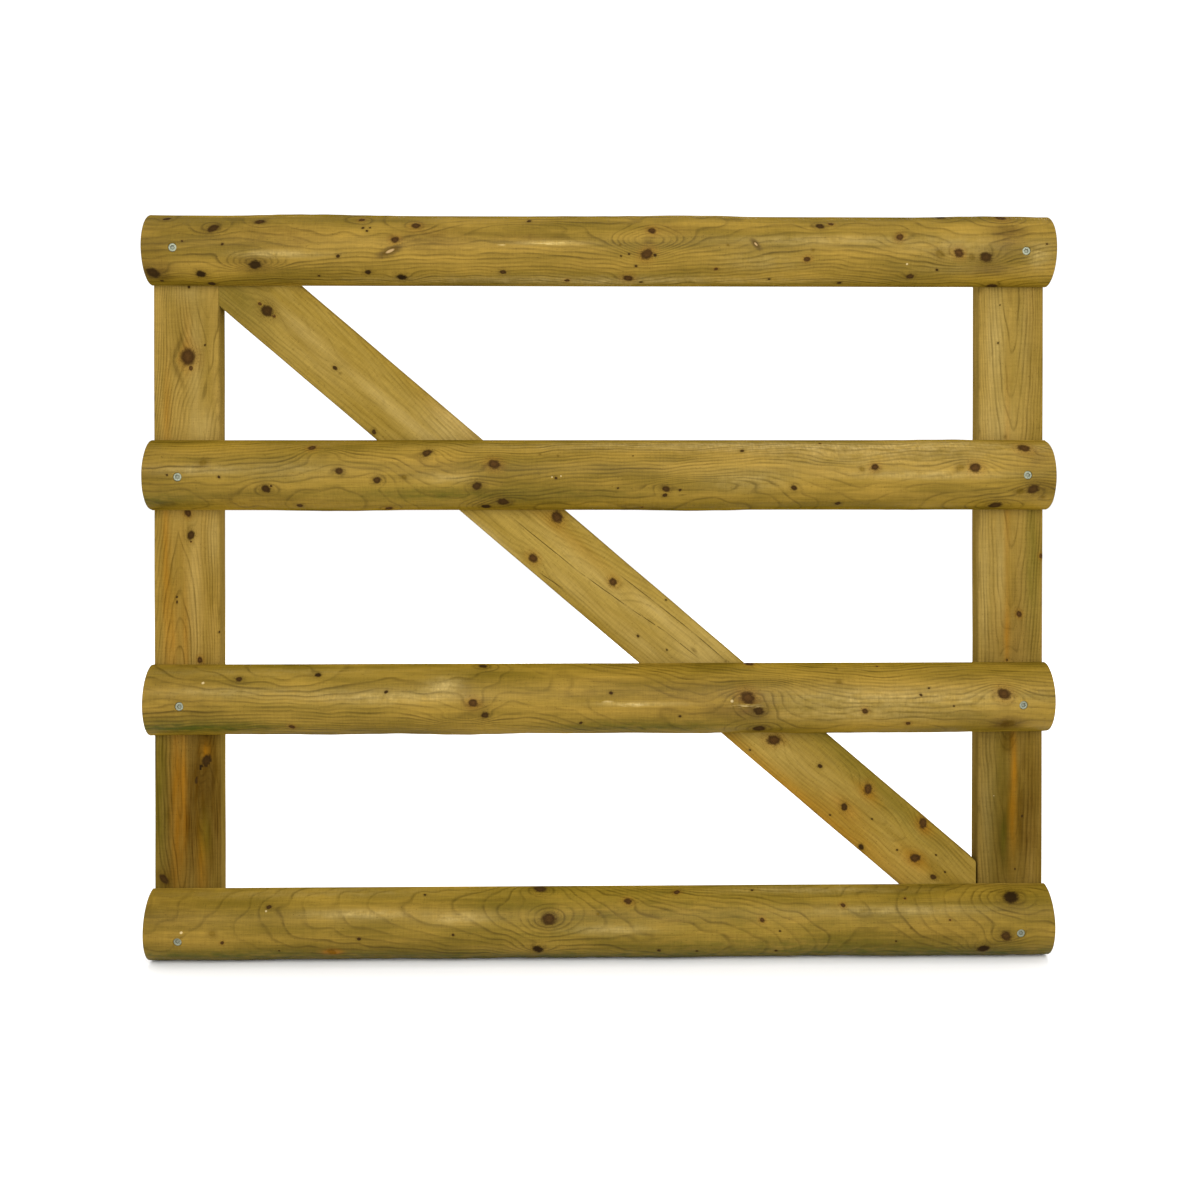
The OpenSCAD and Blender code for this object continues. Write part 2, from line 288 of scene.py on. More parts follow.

# Soft stains and painted light as (x, y, half length, half width, strength): half sizes are in millimetres
# along and across the timber, and strength is how far the wood goes towards each of the colours. The pale
# wood is partly painted light and highlights, and the green partly painted shade.
STAINS_AND_PAINTED_LIGHT = {
    "brown": {
        "closing_stile": [
            (205, 788, 80, 18, 0.9), (192, 815, 140, 80, 0.98), (199, 774, 22, 6, 1.6),
            (214, 768, 34, 4, 1.4), (206, 740, 30, 9, 1.2), (164, 879, 30, 14, 0.8),
            (175, 565, 60, 16, 0.1), (195, 752, 40, 40, 0.25), (188, 338, 40, 20, 0.25),
            (186, 628, 50, 16, 0.2),
        ],
        "hanging_stile": [
            (1012, 815, 140, 76, 0.9), (1018, 605, 100, 30, 0.28), (1008, 742, 18, 9, 1.6),
            (1030, 330, 90, 12, 0.2), (1010, 642, 44, 40, 0.36), (1022, 748, 36, 16, 0.2),
            (985, 742, 30, 16, 0.25),
        ],
        "diagonal_brace": [
            (235, 302, 50, 40, 0.3), (255, 335, 70, 14, 0.2), (300, 335, 80, 14, 0.16),
            (385, 392, 60, 20, 0.12), (270, 330, 90, 44, 0.08), (866, 800, 50, 26, 0.16),
            (940, 850, 40, 30, 0.16),
        ],
        "lower_middle_rail": [
            (1008, 724, 28, 14, 0.75), (752, 707, 36, 22, 0.7), (476, 705, 26, 14, 0.4),
            (175, 692, 90, 60, 0.3), (660, 700, 90, 40, 0.2), (715, 704, 60, 26, 0.32),
            (463, 690, 16, 13, 0.4),
        ],
        "top_rail": [
            (1006, 238, 24, 30, 0.6), (990, 270, 26, 10, 0.6), (153, 272, 30, 18, 0.6),
            (255, 265, 40, 14, 0.4), (215, 235, 110, 34, 0.16), (470, 245, 260, 30, 0.08),
            (148, 245, 36, 50, 0.2), (285, 235, 60, 18, 0.32), (430, 236, 60, 20, 0.4),
            (530, 238, 44, 10, 0.34), (670, 230, 36, 12, 0.38), (1015, 233, 24, 14, 0.36),
        ],
        "upper_middle_rail": [
            (1035, 455, 22, 16, 0.5), (1042, 487, 26, 16, 0.4), (490, 495, 34, 24, 0.25),
            (230, 502, 170, 16, 0.3), (440, 466, 40, 12, 0.25), (590, 490, 110, 16, 0.2),
            (148, 475, 44, 60, 0.16),
        ],
        "bottom_rail": [
            (165, 912, 80, 60, 0.26), (630, 912, 90, 20, 0.22), (430, 905, 70, 12, 0.2),
            (940, 932, 60, 14, 0.26), (310, 893, 240, 10, 0.2),
        ],
    },
    # Green stain; on the rails it runs along their lower edges, where it is also painted shade
    "green_and_lower_edge_shade": {
        "diagonal_brace": [(840, 745, 110, 22, 0.4), (905, 815, 80, 18, 0.3), (235, 300, 60, 40, 0.3)],
        "bottom_rail": [
            (220, 956, 260, 13, 0.75), (600, 956, 400, 13, 0.75), (950, 953, 260, 14, 0.9),
            (660, 915, 420, 60, 0.28), (800, 946, 220, 14, 0.5), (600, 960, 1400, 20, 0.8),
        ],
        "lower_middle_rail": [
            (200, 728, 120, 13, 1.0), (640, 727, 160, 14, 0.6), (270, 690, 200, 60, 0.12),
        ],
        "upper_middle_rail": [(150, 500, 80, 14, 0.6), (430, 495, 140, 16, 0.5), (590, 494, 120, 14, 0.3)],
        "hanging_stile": [
            (1000, 810, 130, 26, 0.4), (1032, 560, 120, 12, 0.5), (1003, 836, 34, 5, 0.95),
            (1010, 360, 120, 50, 0.12),
        ],
        "closing_stile": [(160, 800, 150, 12, 0.5), (205, 835, 40, 8, 0.7)],
    },
    "orange": {
        "closing_stile": [
            (167, 410, 60, 5, 0.4), (166, 560, 130, 5, 0.5), (172, 640, 60, 8, 0.4),
            (177, 800, 130, 8, 0.5), (184, 790, 90, 4, 0.6), (202, 860, 60, 8, 0.4), (206, 752, 12, 6, 0.8),
            (186, 640, 60, 4, 0.4), (188, 345, 40, 5, 0.3), (190, 590, 170, 60, 0.12),
        ],
        "hanging_stile": [
            (1007, 480, 140, 4, 0.45), (1014, 770, 60, 4, 0.7), (1012, 822, 50, 6, 0.5),
            (1007, 640, 60, 4, 0.5),
        ],
        "diagonal_brace": [
            (780, 790, 200, 14, 0.5), (455, 420, 50, 14, 0.22), (560, 530, 120, 10, 0.2),
            (868, 794, 22, 10, 0.4), (846, 808, 26, 10, 0.45), (915, 860, 26, 12, 0.45),
            (924, 828, 18, 8, 0.5), (850, 835, 120, 26, 0.25),
        ],
        "upper_middle_rail": [(820, 450, 260, 14, 0.15)],
        "bottom_rail": [(332, 952, 12, 5, 2.2)],
    },
    # Pale wood, partly painted light: patches that lift the shade next to the rails on the stiles and
    # brace, and painted highlights and lit patches on the rails
    "pale_wood_and_painted_light": {
        "diagonal_brace": [
            (400, 415, 120, 10, 0.5), (490, 535, 70, 7, 0.5), (600, 580, 120, 12, 0.4),
            (660, 615, 60, 10, 0.6), (455, 426, 50, 46, 0.7), (704, 656, 54, 46, 0.5),
            (640, 642, 60, 16, 0.35), (575, 590, 60, 14, 0.3), (325, 372, 60, 12, 0.25),
            (740, 700, 60, 14, 0.4), (305, 332, 60, 12, 0.4), (800, 762, 90, 26, 0.2),
        ],
        "closing_stile": [
            (195, 365, 100, 12, 0.35), (195, 580, 110, 10, 0.35), (204, 428, 26, 22, 0.4),
            (214, 538, 44, 10, 0.4), (186, 292, 16, 30, 0.3),
        ],
        "hanging_stile": [
            (995, 340, 90, 14, 0.6), (1024, 330, 90, 10, 0.2), (1000, 560, 80, 8, 0.4),
            (996, 424, 40, 26, 0.5), (984, 580, 110, 12, 0.4), (986, 800, 120, 14, 0.25),
        ],
        "top_rail": [
            (280, 254, 60, 5, 0.7), (548, 243, 50, 3, 0.7), (820, 240, 120, 7, 0.4),
            (960, 270, 80, 8, 0.15), (960, 248, 90, 20, 0.25), (590, 281, 320, 11, 0.55),
            (760, 262, 60, 14, 0.25), (1040, 256, 16, 18, 0.5),
        ],
        "upper_middle_rail": [
            (445, 478, 40, 8, 0.4), (200, 470, 60, 7, 0.5), (930, 475, 120, 6, 0.5),
            (800, 446, 380, 12, 0.6), (750, 481, 60, 14, 0.35), (290, 470, 60, 16, 0.2),
            (880, 452, 220, 22, 0.4),
        ],
        "lower_middle_rail": [
            (640, 704, 60, 3, 0.7), (445, 686, 26, 14, 0.6), (220, 692, 90, 6, 0.35),
            (380, 697, 120, 10, 0.5), (900, 698, 200, 14, 0.5), (860, 714, 140, 12, 0.35),
            (250, 672, 200, 10, 0.2),
        ],
        "bottom_rail": [
            (360, 914, 70, 6, 0.6), (460, 918, 40, 8, 0.6), (610, 930, 60, 7, 0.5), (900, 910, 120, 6, 0.5),
            (810, 890, 140, 8, 0.4), (320, 893, 220, 10, 0.25),
        ],
    },
}


# Timber shapes

def rounded_loop(corners):
    """A closed outline through arcs (v, w, radius, first degree, last degree), by length.

    Degrees run from the front round to the +v edge. The outline is sampled finely enough to be
    read by interpolation, and gives the point and its outward normal.
    """
    points = []
    normals = []
    for v, w, radius, first, last in corners:
        count = max(3, int(radius * math.radians(last - first) / OUTLINE_STEP))
        angle = np.radians(np.linspace(first, last, count))
        normal = np.stack((np.sin(angle), np.cos(angle)), 1)
        points.append(np.array((v, w)) + radius * normal)
        normals.append(normal)
    runs = []
    run_normals = []
    for arc, arc_normals, following in zip(points, normals, points[1:] + points[:1]):
        side = following[0] - arc[-1]
        share = np.linspace(0, 1, max(2, int(np.hypot(*side) / OUTLINE_STEP)))[1:, None]
        runs += [arc, arc[-1] + share * side]
        run_normals += [arc_normals, np.repeat(arc_normals[-1:], len(share), 0)]
    points = np.concatenate(runs)
    length = np.concatenate(([0], np.cumsum(np.hypot(*np.diff(points, axis=0).T))))
    stops = length[np.cumsum([len(run) for run in runs]) - 1]
    stops = np.unique(np.append(stops, 0).round(6))
    return {
        "points": points,
        "normals": np.concatenate(run_normals),
        "length": length,
        "stops": stops[stops < length[-1]],
    }


def half_round(width, rise):
    radius = (width * width / 4 + rise * rise) / (2 * rise)
    centre = rise - radius
    end = math.degrees(math.acos((RAIL_ARRIS - centre) / radius))
    edge = width / 2 - RAIL_ARRIS
    return rounded_loop(
        [
            (0, centre, radius, -end, end),
            (edge, RAIL_ARRIS, RAIL_ARRIS, 90, 180),
            (-edge, RAIL_ARRIS, RAIL_ARRIS, 180, 270),
        ]
    )


def planed(width, thickness):
    edge = width / 2 - BOARD_ARRIS
    front = -BOARD_ARRIS
    back = BOARD_ARRIS - thickness
    return rounded_loop(
        [
            (-edge, front, BOARD_ARRIS, -90, 0),
            (edge, front, BOARD_ARRIS, 0, 90),
            (edge, back, BOARD_ARRIS, 90, 180),
            (-edge, back, BOARD_ARRIS, 180, 270),
        ]
    )


def loop_at(loop, s):
    v, w = (np.interp(s, loop["length"], loop["points"][:, k]) for k in (0, 1))
    nv, nw = (np.interp(s, loop["length"], loop["normals"][:, k]) for k in (0, 1))
    return v, w, nv, nw


def loop_place(loop, v, w):
    """The length along the outline of its point nearest to (v, w)."""
    distance = np.hypot(loop["points"][:, 0] - v, loop["points"][:, 1] - w)
    return loop["length"][np.argmin(distance)]


def spread(low, high, step):
    count = max(2, math.ceil((high - low) / step) + 1)
    return np.linspace(low, high, count)


class Timber:
    """One rail or board: its own axes, outline, marks and screws."""

    def __init__(self, name, origin, along, length, loop, shear=0.0):
        self.name = name
        self.kind = name.split("_")[-1]
        self.round = self.kind == "rail"
        self.origin = np.array(origin)
        self.along = np.array(along)
        self.out = np.array((0, -1, 0))
        self.across = np.cross(self.out, self.along)
        self.length = length
        self.loop = loop
        self.shear = shear
        self.seed = sum(map(ord, name))
        self.screws = []
        tilts = self.random(TILT_SEED).uniform(-MARK_TILT, MARK_TILT, len(MARKS[name]))
        self.marks = [self.mark(tilt, *row) for tilt, row in zip(tilts, MARKS[name])]
        for crack in CRACKS.get(name, []):
            self.marks += [self.crack(*ends) for ends in zip(crack, crack[1:])]
        self.marks += self.rail_back_marks() if self.round else self.board_back_marks()

    def random(self, draw):
        return np.random.default_rng(self.seed + draw)

    def wave(self, draw, shape, place):
        return waves(self.seed + draw, *shape)(*place)

    def local(self, point):
        offset = np.array(point) - self.origin
        return offset @ self.along, offset @ self.across, offset @ self.out

    def seen_at(self, x, y):
        """Where the photograph's pixel (x, y) falls on this timber's front: along it and round it."""
        ray = photo_ray(x, y)
        start = camera_place - self.origin
        if self.round:
            radius = self.loop["points"][:, 1].max()
            a = ray[1] ** 2 + ray[2] ** 2
            b = start[1] * ray[1] + start[2] * ray[2]
            c = start[1] ** 2 + start[2] ** 2 - radius**2
            t = (-b - math.sqrt(max(0, b * b - a * c))) / a
        else:
            t = -start[1] / ray[1]
        u, v, w = self.local(camera_place + t * ray)
        return u, loop_place(self.loop, v, w)

    def mark(self, tilt, x, y, size, kind=DARK, stretch=None, turn=0):
        """A mark's place along and round the timber, half width, kind, stretch and turn."""
        u, s = self.seen_at(x, y)
        large = smoothstep((size - SMALL_MARK) / (LARGE_MARK - SMALL_MARK))
        grow = MARK_GROW[0] + large * (MARK_GROW[1] - MARK_GROW[0])
        half_length = grow * size / 2 * CAMERA_BEFORE_GATE / PHOTO_FOCAL
        if stretch is None:
            stretch = MARK_STRETCH
            turn = tilt
        return u, s, half_length / stretch, kind, stretch, math.radians(turn)

    def crack(self, start, end):
        u0, s0 = self.seen_at(*start)
        u1, s1 = self.seen_at(*end)
        half_length = math.hypot(u1 - u0, s1 - s0) / 2 * CRACK_OVERLAP
        half_width = CRACK_WIDTH / 2
        turn = math.atan2(s1 - s0, u1 - u0)
        return (u0 + u1) / 2, (s0 + s1) / 2, half_width, CRACK, half_length / half_width, turn

    def rail_back_marks(self):
        """Knots on a rail's flat back, cut lengthwise and spread evenly along it."""
        rng = self.random(BACK_SEED)
        pitch = self.length / BACK_KNOTS
        found = []
        for k in range(BACK_KNOTS):
            u = -self.length / 2 + (k + rng.uniform(*BACK_JITTER)) * pitch
            s = loop_place(self.loop, rng.uniform(-BACK_REACH, BACK_REACH), 0)
            turn = rng.choice((-1, 1)) * rng.uniform(*BACK_TURNS)
            kind = rng.choice(BACK_KINDS)
            found.append((u, s, rng.uniform(*BACK_RADII), kind, rng.uniform(*BACK_STRETCHES), turn))
        return found

    def board_back_marks(self):
        """A board's larger knots where they come through to its back."""
        rng = self.random(BACK_SEED)
        back = self.loop["points"][:, 1].min()
        found = []
        for u, s, radius, kind, stretch, turn in self.marks:
            if kind < PAINTED_HIGHLIGHT and radius > SMALL_RADIUS:
                v = loop_at(self.loop, s)[0] + rng.uniform(-THROUGH_ACROSS, THROUGH_ACROSS)
                u += rng.uniform(-THROUGH_ALONG, THROUGH_ALONG)
                place = loop_place(self.loop, v, back)
                found.append((u, place, THROUGH_SHARE * radius, kind, stretch, -turn))
        return found

    def add_screw(self, node):
        """Takes a screw's place from its box: the head is flat, across the gate's depth."""
        box = box_mm(node)
        low, high = box
        head_y = low[1] if self.round else high[1]
        u, v, w = self.local(middle_at(box, head_y))
        s = loop_place(self.loop, v, w)
        inward = -1 if self.round else 1
        radius = (high[0] - low[0]) / 2 + POCKET_CLEAR
        self.screws.append((u, s, radius, w + inward * POCKET_FLOOR))

    def pocket_lines(self, radius):
        """Offsets of the mesh lines on one side of a screw's middle."""
        inner = radius - POCKET_CLEAR
        steps = [inner * k / POCKET_STEPS for k in range(1, POCKET_STEPS + 1)]
        return np.array(steps + [radius] + [radius + margin for margin in POCKET_MARGINS])

    def grid_lines(self, even, screw_places):
        """Even mesh lines, with finer ones in their place round each screw."""
        lines = np.array(even)
        for place, (_, _, radius, _) in zip(screw_places, self.screws):
            offsets = self.pocket_lines(radius)
            lines = lines[abs(lines - place) > offsets[-1] + POCKET_SPACE]
            lines = np.concatenate((lines, [place], place + offsets, place - offsets))
        return np.unique(lines.round(4))

    def grid(self):
        """Lengths along and round the timber of each point of its sides, and the inset of each row."""
        half = self.length / 2
        arris = END_ARRIS * np.array((0, END_STEP_SHARE, 1))
        inner = spread(-half + 2 * END_ARRIS, half - 2 * END_ARRIS, STEP_ALONG)
        screw_u = [u + self.shear * loop_at(self.loop, s)[0] for u, s, _, _ in self.screws]
        lines_u = np.concatenate((arris - half, self.grid_lines(inner, screw_u), half - arris[::-1]))
        stops = np.append(self.loop["stops"], self.loop["length"][-1])
        sides = zip(stops, stops[1:])
        even_s = np.concatenate([spread(a, b, min(STEP_AROUND, (b - a) / LEAST_STEPS)) for a, b in sides])
        lines_s = self.grid_lines(np.unique(even_s.round(4)), [s for _, s, _, _ in self.screws])
        lines_s[-1] = self.loop["length"][-1]
        u, s = np.meshgrid(lines_u, lines_s, indexing="ij")
        inset = np.zeros((len(lines_u), 1))
        inset[:3, 0] = arris[::-1]
        inset[-3:, 0] = arris
        return *self.round_pockets(u, s, screw_u), inset

    def round_pockets(self, u, s, screw_u):
        """Moves the square rings of mesh lines round each screw onto circles, and shears a brace's rows."""
        true_u = u - self.shear * loop_at(self.loop, s)[0]
        for (middle_u, middle_s, radius, _), place in zip(self.screws, screw_u):
            reach = self.pocket_lines(radius)[-1]
            ring = np.maximum(abs(u - place), abs(s - middle_s))
            du = true_u - middle_u
            ds = s - middle_s
            distance = np.maximum(np.hypot(du, ds), TINY)
            rounding = 1 - smoothstep((ring - radius) / (reach - radius))
            scale = np.where(ring < reach + TINY, 1 + rounding * (ring / distance - 1), 1)
            true_u = middle_u + du * scale
            s = middle_s + ds * scale
        return true_u, s


# Growth rings: the path of the pith along each timber as (u, v, w), and the rings' width

PITH = {
    "top_rail": [
        (-660, -18, -8), (-400, -15, -11), (-100, -22, -6), (60, -14, -12), (330, -20, -7), (660, -16, -10),
    ],
    "upper_middle_rail": [
        (-660, 18, -8), (-380, 13, -12), (-150, 20, -6), (180, 22, -8), (420, 15, -12), (660, 20, -7),
    ],
    "lower_middle_rail": [
        (-660, -18, -8), (-250, -20, -8), (-80, -11, -12), (60, 4, -18), (240, 16, -10), (660, 18, -8),
    ],
    "bottom_rail": [
        (-660, 4, 1), (-442, -6, -7), (-178, -14, -16), (-60, -17, -22), (100, 5, -21),
        (260, 9, -12), (395, -5, -6), (542, -12, -14), (660, -16, -18),
    ],
    "closing_stile": [(-545, 6, -44), (-180, 12, -38), (120, 2, -52), (320, -26, -50), (545, -36, -46)],
    "hanging_stile": [(-545, -4, -66), (-120, 4, -56), (180, -2, -48), (545, 2, -34)],
    "diagonal_brace": [(-740, 14, -70), (-200, -10, -82), (250, 12, -66), (740, -6, -76)],
}
RING_WIDTH = {"rail": 2.3, "stile": 2.6, "brace": 2.8}
RING_DRIFT = {"rail": 2.0, "stile": 0.6, "brace": 1.2}
CALM_DRIFT = {"bottom_rail": 0.5, "lower_middle_rail": 1.4}
RING_WIGGLE = 0.24

# Places that the rings run round, as (x, y, half length, half width, rings)
EYES = {
    "top_rail": [(650, 241, 48, 14, 6), (530, 226, 80, 14, -3), (254, 263, 50, 14, 4)],
    "upper_middle_rail": [(700, 484, 75, 10, 3), (322, 455, 30, 14, 3), (840, 458, 40, 10, -2)],
    "lower_middle_rail": [(775, 690, 40, 18, 3), (460, 718, 40, 12, 3)],
    "closing_stile": [(199, 770, 120, 11, 5)],
    "hanging_stile": [(1008, 700, 66, 12, 5)],
}

# How a knot bends the rings: its reaches as (times its radius, and a length more), and its push
BEND_ALONG = (3.6, 4)
BEND_ROUND = (1.7, 2)
BEND_PUSH = 0.8
BEND_FROM = 2.5
BEND_OVER = 4

# Smooth random fields as (number of waves, wavelengths along, wavelengths across)
SLOW_WAVES = (9, (220, 700), (120, 400))
QUICK_WAVES = (14, (50, 150), (25, 80))
RAIL_FORM_WAVES = (8, (160, 600), (90, 260))
RAIL_CHATTER_WAVES = (12, (30, 90), (25, 70))
BOARD_FORM_WAVES = (8, (120, 500), (60, 200))

# Heights and depths of the wood's own form, with reaches counted in a mark's radii
RAIL_FORM = 0.55
RAIL_CHATTER = 0.12
BOARD_FORM = 0.1
FORM_FREE = 8
CHIP_DEPTH = 0.5
CHIP_REACH = 1.3
KNOT_SHOWS = 2.5
KNOT_SWELL = 0.45
KNOT_SWELL_REACH = 2.4
KNOT_DIP = 0.5


def ring_age(timber, u, v, w):
    """Growth rings counted out from the pith, before any mark bends them."""
    pith_v, pith_w = smooth_path(PITH[timber.name])(u)
    distance = np.hypot(v - pith_v, w - pith_w)
    slow = timber.wave(SLOW_SEED, SLOW_WAVES, (u, v, w))
    quick = timber.wave(QUICK_SEED, QUICK_WAVES, (u, v, w))
    drift = CALM_DRIFT.get(timber.name, RING_DRIFT[timber.kind])
    return (distance + drift * slow + RING_WIGGLE * quick) / RING_WIDTH[timber.kind]


def ring_bend(timber, u, s):
    """Rings by which knots and eyes shift the count round themselves."""
    bend = np.zeros_like(u)
    for mark_u, mark_s, radius, kind, *_ in timber.marks:
        if kind in (DARK, RED):
            reaches = [times * radius + more for times, more in (BEND_ALONG, BEND_ROUND)]
            push = BEND_PUSH * radius * smoothstep((radius - BEND_FROM) / BEND_OVER)
            bend += push / RING_WIDTH[timber.kind] * bell(u, s, (mark_u, mark_s), reaches)
    for x, y, half_u, half_s, rings in EYES.get(timber.name, []):
        bend += rings * bell(u, s, timber.seen_at(x, y), (half_u, half_s))
    return bend


def ring_pace(age, u, s):
    """Rings crossed in each millimetre of the surface."""
    along = np.gradient(age, axis=0) / np.maximum(np.gradient(u, axis=0), TINY)
    around = np.gradient(age, axis=1) / np.maximum(np.gradient(s, axis=1), TINY)
    return np.hypot(along, around)


def relief(timber, u, s, v, w):
    """Height of the wood's own form over the ideal outline. A rail's flat back stays flat."""
    if timber.round:
        free = smoothstep(w / FORM_FREE)
        height = RAIL_FORM * timber.wave(FORM_SEED, RAIL_FORM_WAVES, (u, v, w))
        height += RAIL_CHATTER * timber.wave(CHATTER_SEED, RAIL_CHATTER_WAVES, (u, v, w))
    else:
        free = 1
        height = BOARD_FORM * timber.wave(FORM_SEED, BOARD_FORM_WAVES, (u, v, w))
    for mark_u, mark_s, radius, kind, stretch, _ in timber.marks:
        away = np.hypot((u - mark_u) / stretch, s - mark_s) / radius
        if kind == CHIP:
            height -= CHIP_DEPTH * (1 - smoothstep(away / CHIP_REACH))
        elif kind < PAINTED_HIGHLIGHT and radius > KNOT_SHOWS:
            height += KNOT_SWELL * (1 - smoothstep(away / KNOT_SWELL_REACH))
            height -= KNOT_DIP * (1 - smoothstep(away))
    return height * free


def stain_and_painted_light_field(timber, stain_and_light, u, s):
    field = np.zeros_like(u)
    for x, y, half_u, half_s, strength in STAINS_AND_PAINTED_LIGHT[stain_and_light].get(timber.name, []):
        share = np.minimum(1, strength * bell(u, s, timber.seen_at(x, y), (half_u, half_s)))
        field = field + share - field * share
    return field


# Timber meshes

GRAIN_SPREAD = 4000
FAR = 99.0


def grid_quads(ids):
    """Faces between the rows of a grid of points, each row of which closes on itself."""
    after = np.roll(ids, -1, axis=1)
    return np.stack((ids[:-1], ids[1:], after[1:], after[:-1]), -1).reshape(-1, 4)


def sawn_ends(side, ids):
    """Points, quads and middle fans of both ends, in rings that shrink to the end's middle."""
    points, quads, fans = [], [], []
    count = ids.size
    for row, turn in ((0, 1), (-1, -1)):
        rim, last = side[row], ids[row]
        middle = (rim.max(0) + rim.min(0)) / 2
        for share in np.linspace(1, 0, END_RINGS + 1)[1:-1]:
            ring = count + np.arange(len(last))
            points.append(middle + (rim - middle) * share)
            quads.append(np.stack((last, np.roll(last, -1), np.roll(ring, -1), ring), -1)[:, ::turn])
            count += len(last)
            last = ring
        points.append(middle[None])
        fans.append(np.stack((last, np.roll(last, -1), np.full(len(last), count)), -1)[:, ::turn])
        count += 1
    return np.concatenate(points), np.concatenate(quads), np.concatenate(fans)


def mark_corners(timber, mesh, u, s):
    """Each face corner's place against the mark nearest to its face, in the mark's radii, and its kind."""
    values = np.full((len(mesh.loops), 3), (FAR, FAR, 0.0))
    corner_u, corner_s = (
        np.stack((a[:-1, :-1], a[1:, :-1], a[1:, 1:], a[:-1, 1:]), -1).reshape(-1, 4) for a in (u, s)
    )
    mark_u, mark_s, radius, kind, stretch, turn = np.array(timber.marks).T[:, :, None]

    def against(i, at_u, at_s):
        du = at_u - mark_u[i]
        ds = at_s - mark_s[i]
        long = (du * np.cos(turn[i]) + ds * np.sin(turn[i])) / (radius[i] * stretch[i])
        wide = (ds * np.cos(turn[i]) - du * np.sin(turn[i])) / radius[i]
        return long, wide

    near = np.full(len(corner_u), FAR)
    chosen = np.zeros(len(corner_u), int)
    for i in range(len(timber.marks)):
        away = np.hypot(*against(i, corner_u.mean(1), corner_s.mean(1)))
        chosen = np.where(away < near, i, chosen)
        near = np.minimum(near, away)
    tone = timber.random(TONE_SEED).uniform(0, 1, len(timber.marks))[:, None]
    tone = KIND_SPREAD * np.where(radius < SMALL_RADIUS, SMALL_TONE + SMALL_TONE * tone, tone)
    kinds = np.repeat((kind + tone)[chosen], 4, 1)
    corners = np.stack((*against(chosen, corner_u, corner_s), kinds), -1)
    values[: corner_u.size] = corners.reshape(-1, 3)
    return values


def add_field(mesh, name, kind, domain, values):
    field = mesh.attributes.new(name, kind, domain)
    socket = {"FLOAT": "value", "FLOAT_VECTOR": "vector", "FLOAT_COLOR": "color"}[kind]
    field.data.foreach_set(socket, np.ascontiguousarray(values, dtype=np.float32).reshape(-1))


def dress(node, mesh, material):
    """Puts a mesh into the scene in place of its solid."""
    mesh.materials.append(material)
    piece = bpy.data.objects.new(mesh.name, mesh)
    bpy.context.scene.collection.objects.link(piece)
    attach(piece, "root")
    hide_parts(node)


def timber_sides(timber):
    """Lengths along and round of the sides' points, and their places with the wood's form and pockets."""
    u, s, inset = timber.grid()
    v, w, nv, nw = loop_at(timber.loop, s)
    height = relief(timber, u, s, v, w) - inset
    w = w + nw * height
    for screw_u, screw_s, radius, floor in timber.screws:
        inside = np.hypot(u - screw_u, s - screw_s) < radius - POCKET_CLEAR / 2
        w = np.where(inside, floor, w)
    return u, s, v + nv * height, w


def timber_object(timber, material):
    """Builds the timber's mesh with the fields that its material reads."""
    u, s, v, w = timber_sides(timber)
    age = ring_age(timber, u, v, w) + ring_bend(timber, u, s)
    stains_and_light = [stain_and_painted_light_field(timber, stain_and_light, u, s) for stain_and_light in STAINS_AND_PAINTED_LIGHT]

    # The last column repeats the first, because the outline closes on itself
    side, stains_and_light = (np.stack(a, -1)[:, :-1] for a in ((u, v, w), stains_and_light))
    ids = np.arange(side[..., 0].size).reshape(side.shape[:2])
    side_quads = grid_quads(ids)
    end_points, end_quads, end_fans = sawn_ends(side, ids)
    local = np.concatenate((side.reshape(-1, 3), end_points))
    axes = np.stack((timber.along, timber.across, timber.out))
    place = (timber.origin + local @ axes) * MM
    faces = side_quads.tolist() + end_quads.tolist() + end_fans.tolist()
    mesh = bpy.data.meshes.new(timber.name + "_wood")
    mesh.from_pydata(place.tolist(), [], faces)
    mesh.shade_smooth()

    ages = np.append(age[:, :-1], ring_age(timber, *end_points.T))
    end_pace = np.full(len(end_points), 1 / RING_WIDTH[timber.kind])
    tones = np.append(stains_and_light, np.zeros((len(end_points), len(STAINS_AND_PAINTED_LIGHT))))
    crest = smoothstep((local[:, 2] - CREST_START) / CREST_REACH)
    # Painted shade: masks for the darker tint on a rail's round flanks, and for its lower flank, which
    # loses more blue
    painted_flank_shade = (1 - crest) * smoothstep(local[:, 2] / FLANK_REACH)
    offset = timber.random(GRAIN_SEED).uniform(0, GRAIN_SPREAD, 3)
    add_field(mesh, "grain", "FLOAT_VECTOR", "POINT", local + offset)
    add_field(mesh, "ring", "FLOAT", "POINT", ages)
    add_field(mesh, "pace", "FLOAT", "POINT", np.append(ring_pace(age, u, s)[:, :-1], end_pace))
    add_field(mesh, "stain_and_light", "FLOAT_COLOR", "POINT", tones)
    add_field(mesh, "end", "FLOAT", "CORNER", np.arange(len(mesh.loops)) >= side_quads.size)
    add_field(mesh, "crest", "FLOAT", "POINT", crest)
    add_field(mesh, "painted_flank_shade", "FLOAT", "POINT", painted_flank_shade)
    add_field(mesh, "painted_under_shade", "FLOAT", "POINT", painted_flank_shade * smoothstep(-local[:, 1] / FLANK_REACH))
    add_field(mesh, "mark", "FLOAT_VECTOR", "CORNER", mark_corners(timber, mesh, u, s))
    dress(timber.name, mesh, material)


# Materials

